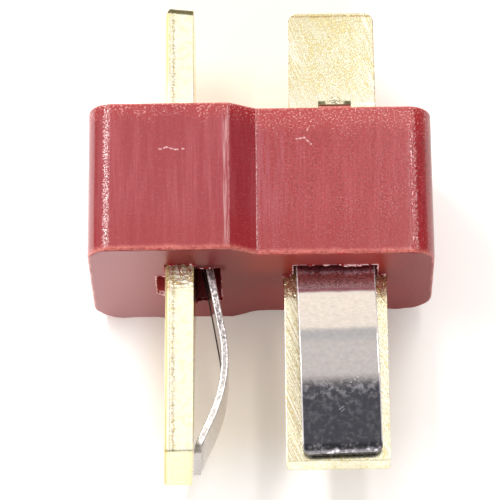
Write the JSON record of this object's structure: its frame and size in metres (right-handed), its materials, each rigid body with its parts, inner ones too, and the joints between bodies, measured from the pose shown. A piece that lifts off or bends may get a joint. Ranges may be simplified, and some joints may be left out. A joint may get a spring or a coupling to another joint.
{
  "type": "t plug battery connector",
  "caption": "Plug half of a T-style battery connector: keyed moulded body with spade contacts at right angles, solder tabs behind and bowed leaf springs on the blades.",
  "frame": {"origin": "centre of the body's mating face, on its middle plane", "axes": "-Y out of the mating face along the blades, +Y along the solder tabs, +X across the body from the thick half to the thin half, +Z through the body's thickness on the side that carries the flat contact's leaf spring"},
  "size_m": [0.016, 0.0228, 0.0084],
  "materials": {
    "red_nylon": "satin moulded nylon with fine draw marks and a little flash",
    "pale_brass": "bright stamped brass with sheared edges and handling scratches",
    "spring_steel": "bright cold-rolled strip"
  },
  "bodies": {
    "plug_body": {"moulded_body": "red_nylon", "edge_contact": "pale_brass", "flat_contact": "pale_brass"},
    "edge_leaf": {"edge_leaf_spring": "spring_steel"},
    "flat_leaf": {"flat_leaf_spring": "spring_steel"}
  },
  "joints": [
    {"name": "edge_leaf_travel", "type": "slide", "parent": "plug_body", "child": "edge_leaf", "axis": [0, -1, 0], "range_m": [0, 0.00015], "stiffness_N_per_m": 20},
    {"name": "flat_leaf_travel", "type": "slide", "parent": "plug_body", "child": "flat_leaf", "axis": [0, -1, 0], "range_m": [0, 0.00015], "stiffness_N_per_m": 20}
  ]
}
